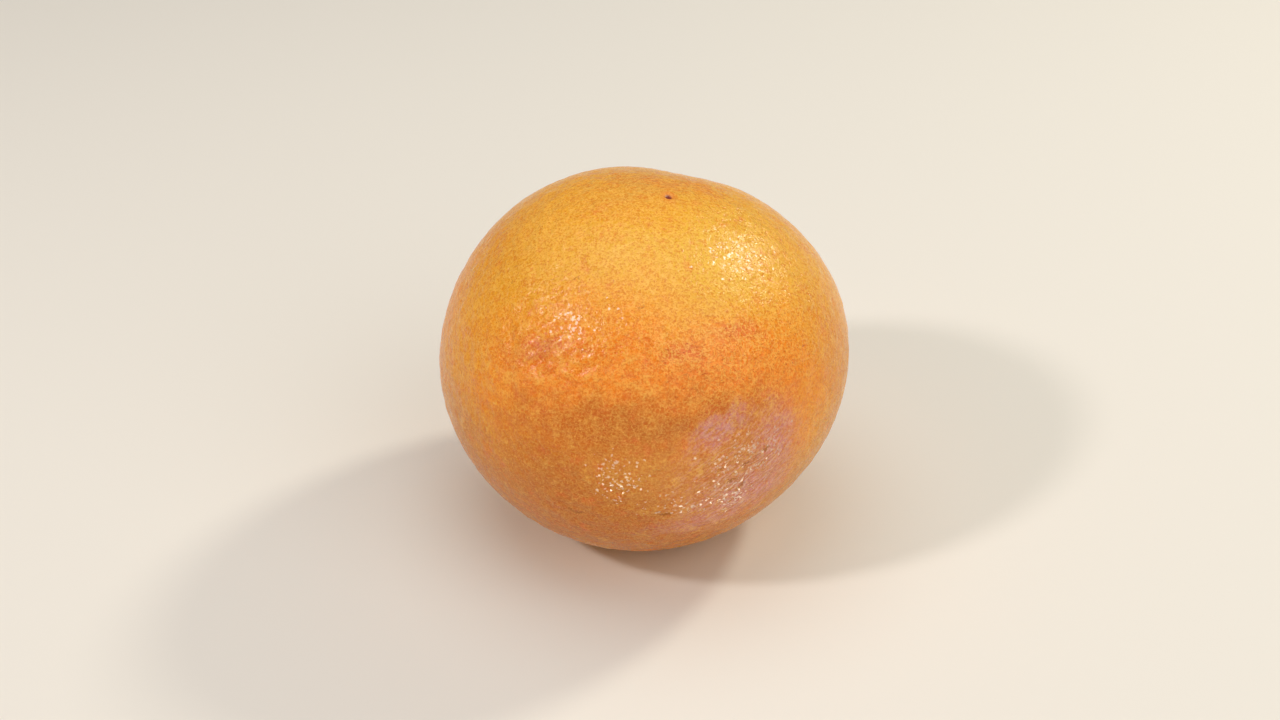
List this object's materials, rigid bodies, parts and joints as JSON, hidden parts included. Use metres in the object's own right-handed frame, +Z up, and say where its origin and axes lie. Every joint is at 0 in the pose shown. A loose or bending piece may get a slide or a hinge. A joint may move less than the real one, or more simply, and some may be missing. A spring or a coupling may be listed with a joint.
{
  "type": "orange",
  "caption": "Whole ripe sweet orange, slightly flattened and lopsided, with pebbled peel, standing on its stem end with the blossom end up.",
  "frame": {"origin": "on the surface that the fruit stands on, under the middle of its box", "axes": "+Z up through the blossom end, the shortest way through the fruit; +X to the right of the picture, its greatest width; -Y towards the viewer"},
  "size_m": [0.0806, 0.078, 0.0714],
  "materials": {
    "peel": "satin",
    "calyx": "matte"
  },
  "bodies": {
    "root": {"orange_fruit": "peel", "calyx_button": "calyx"}
  },
  "joints": []
}
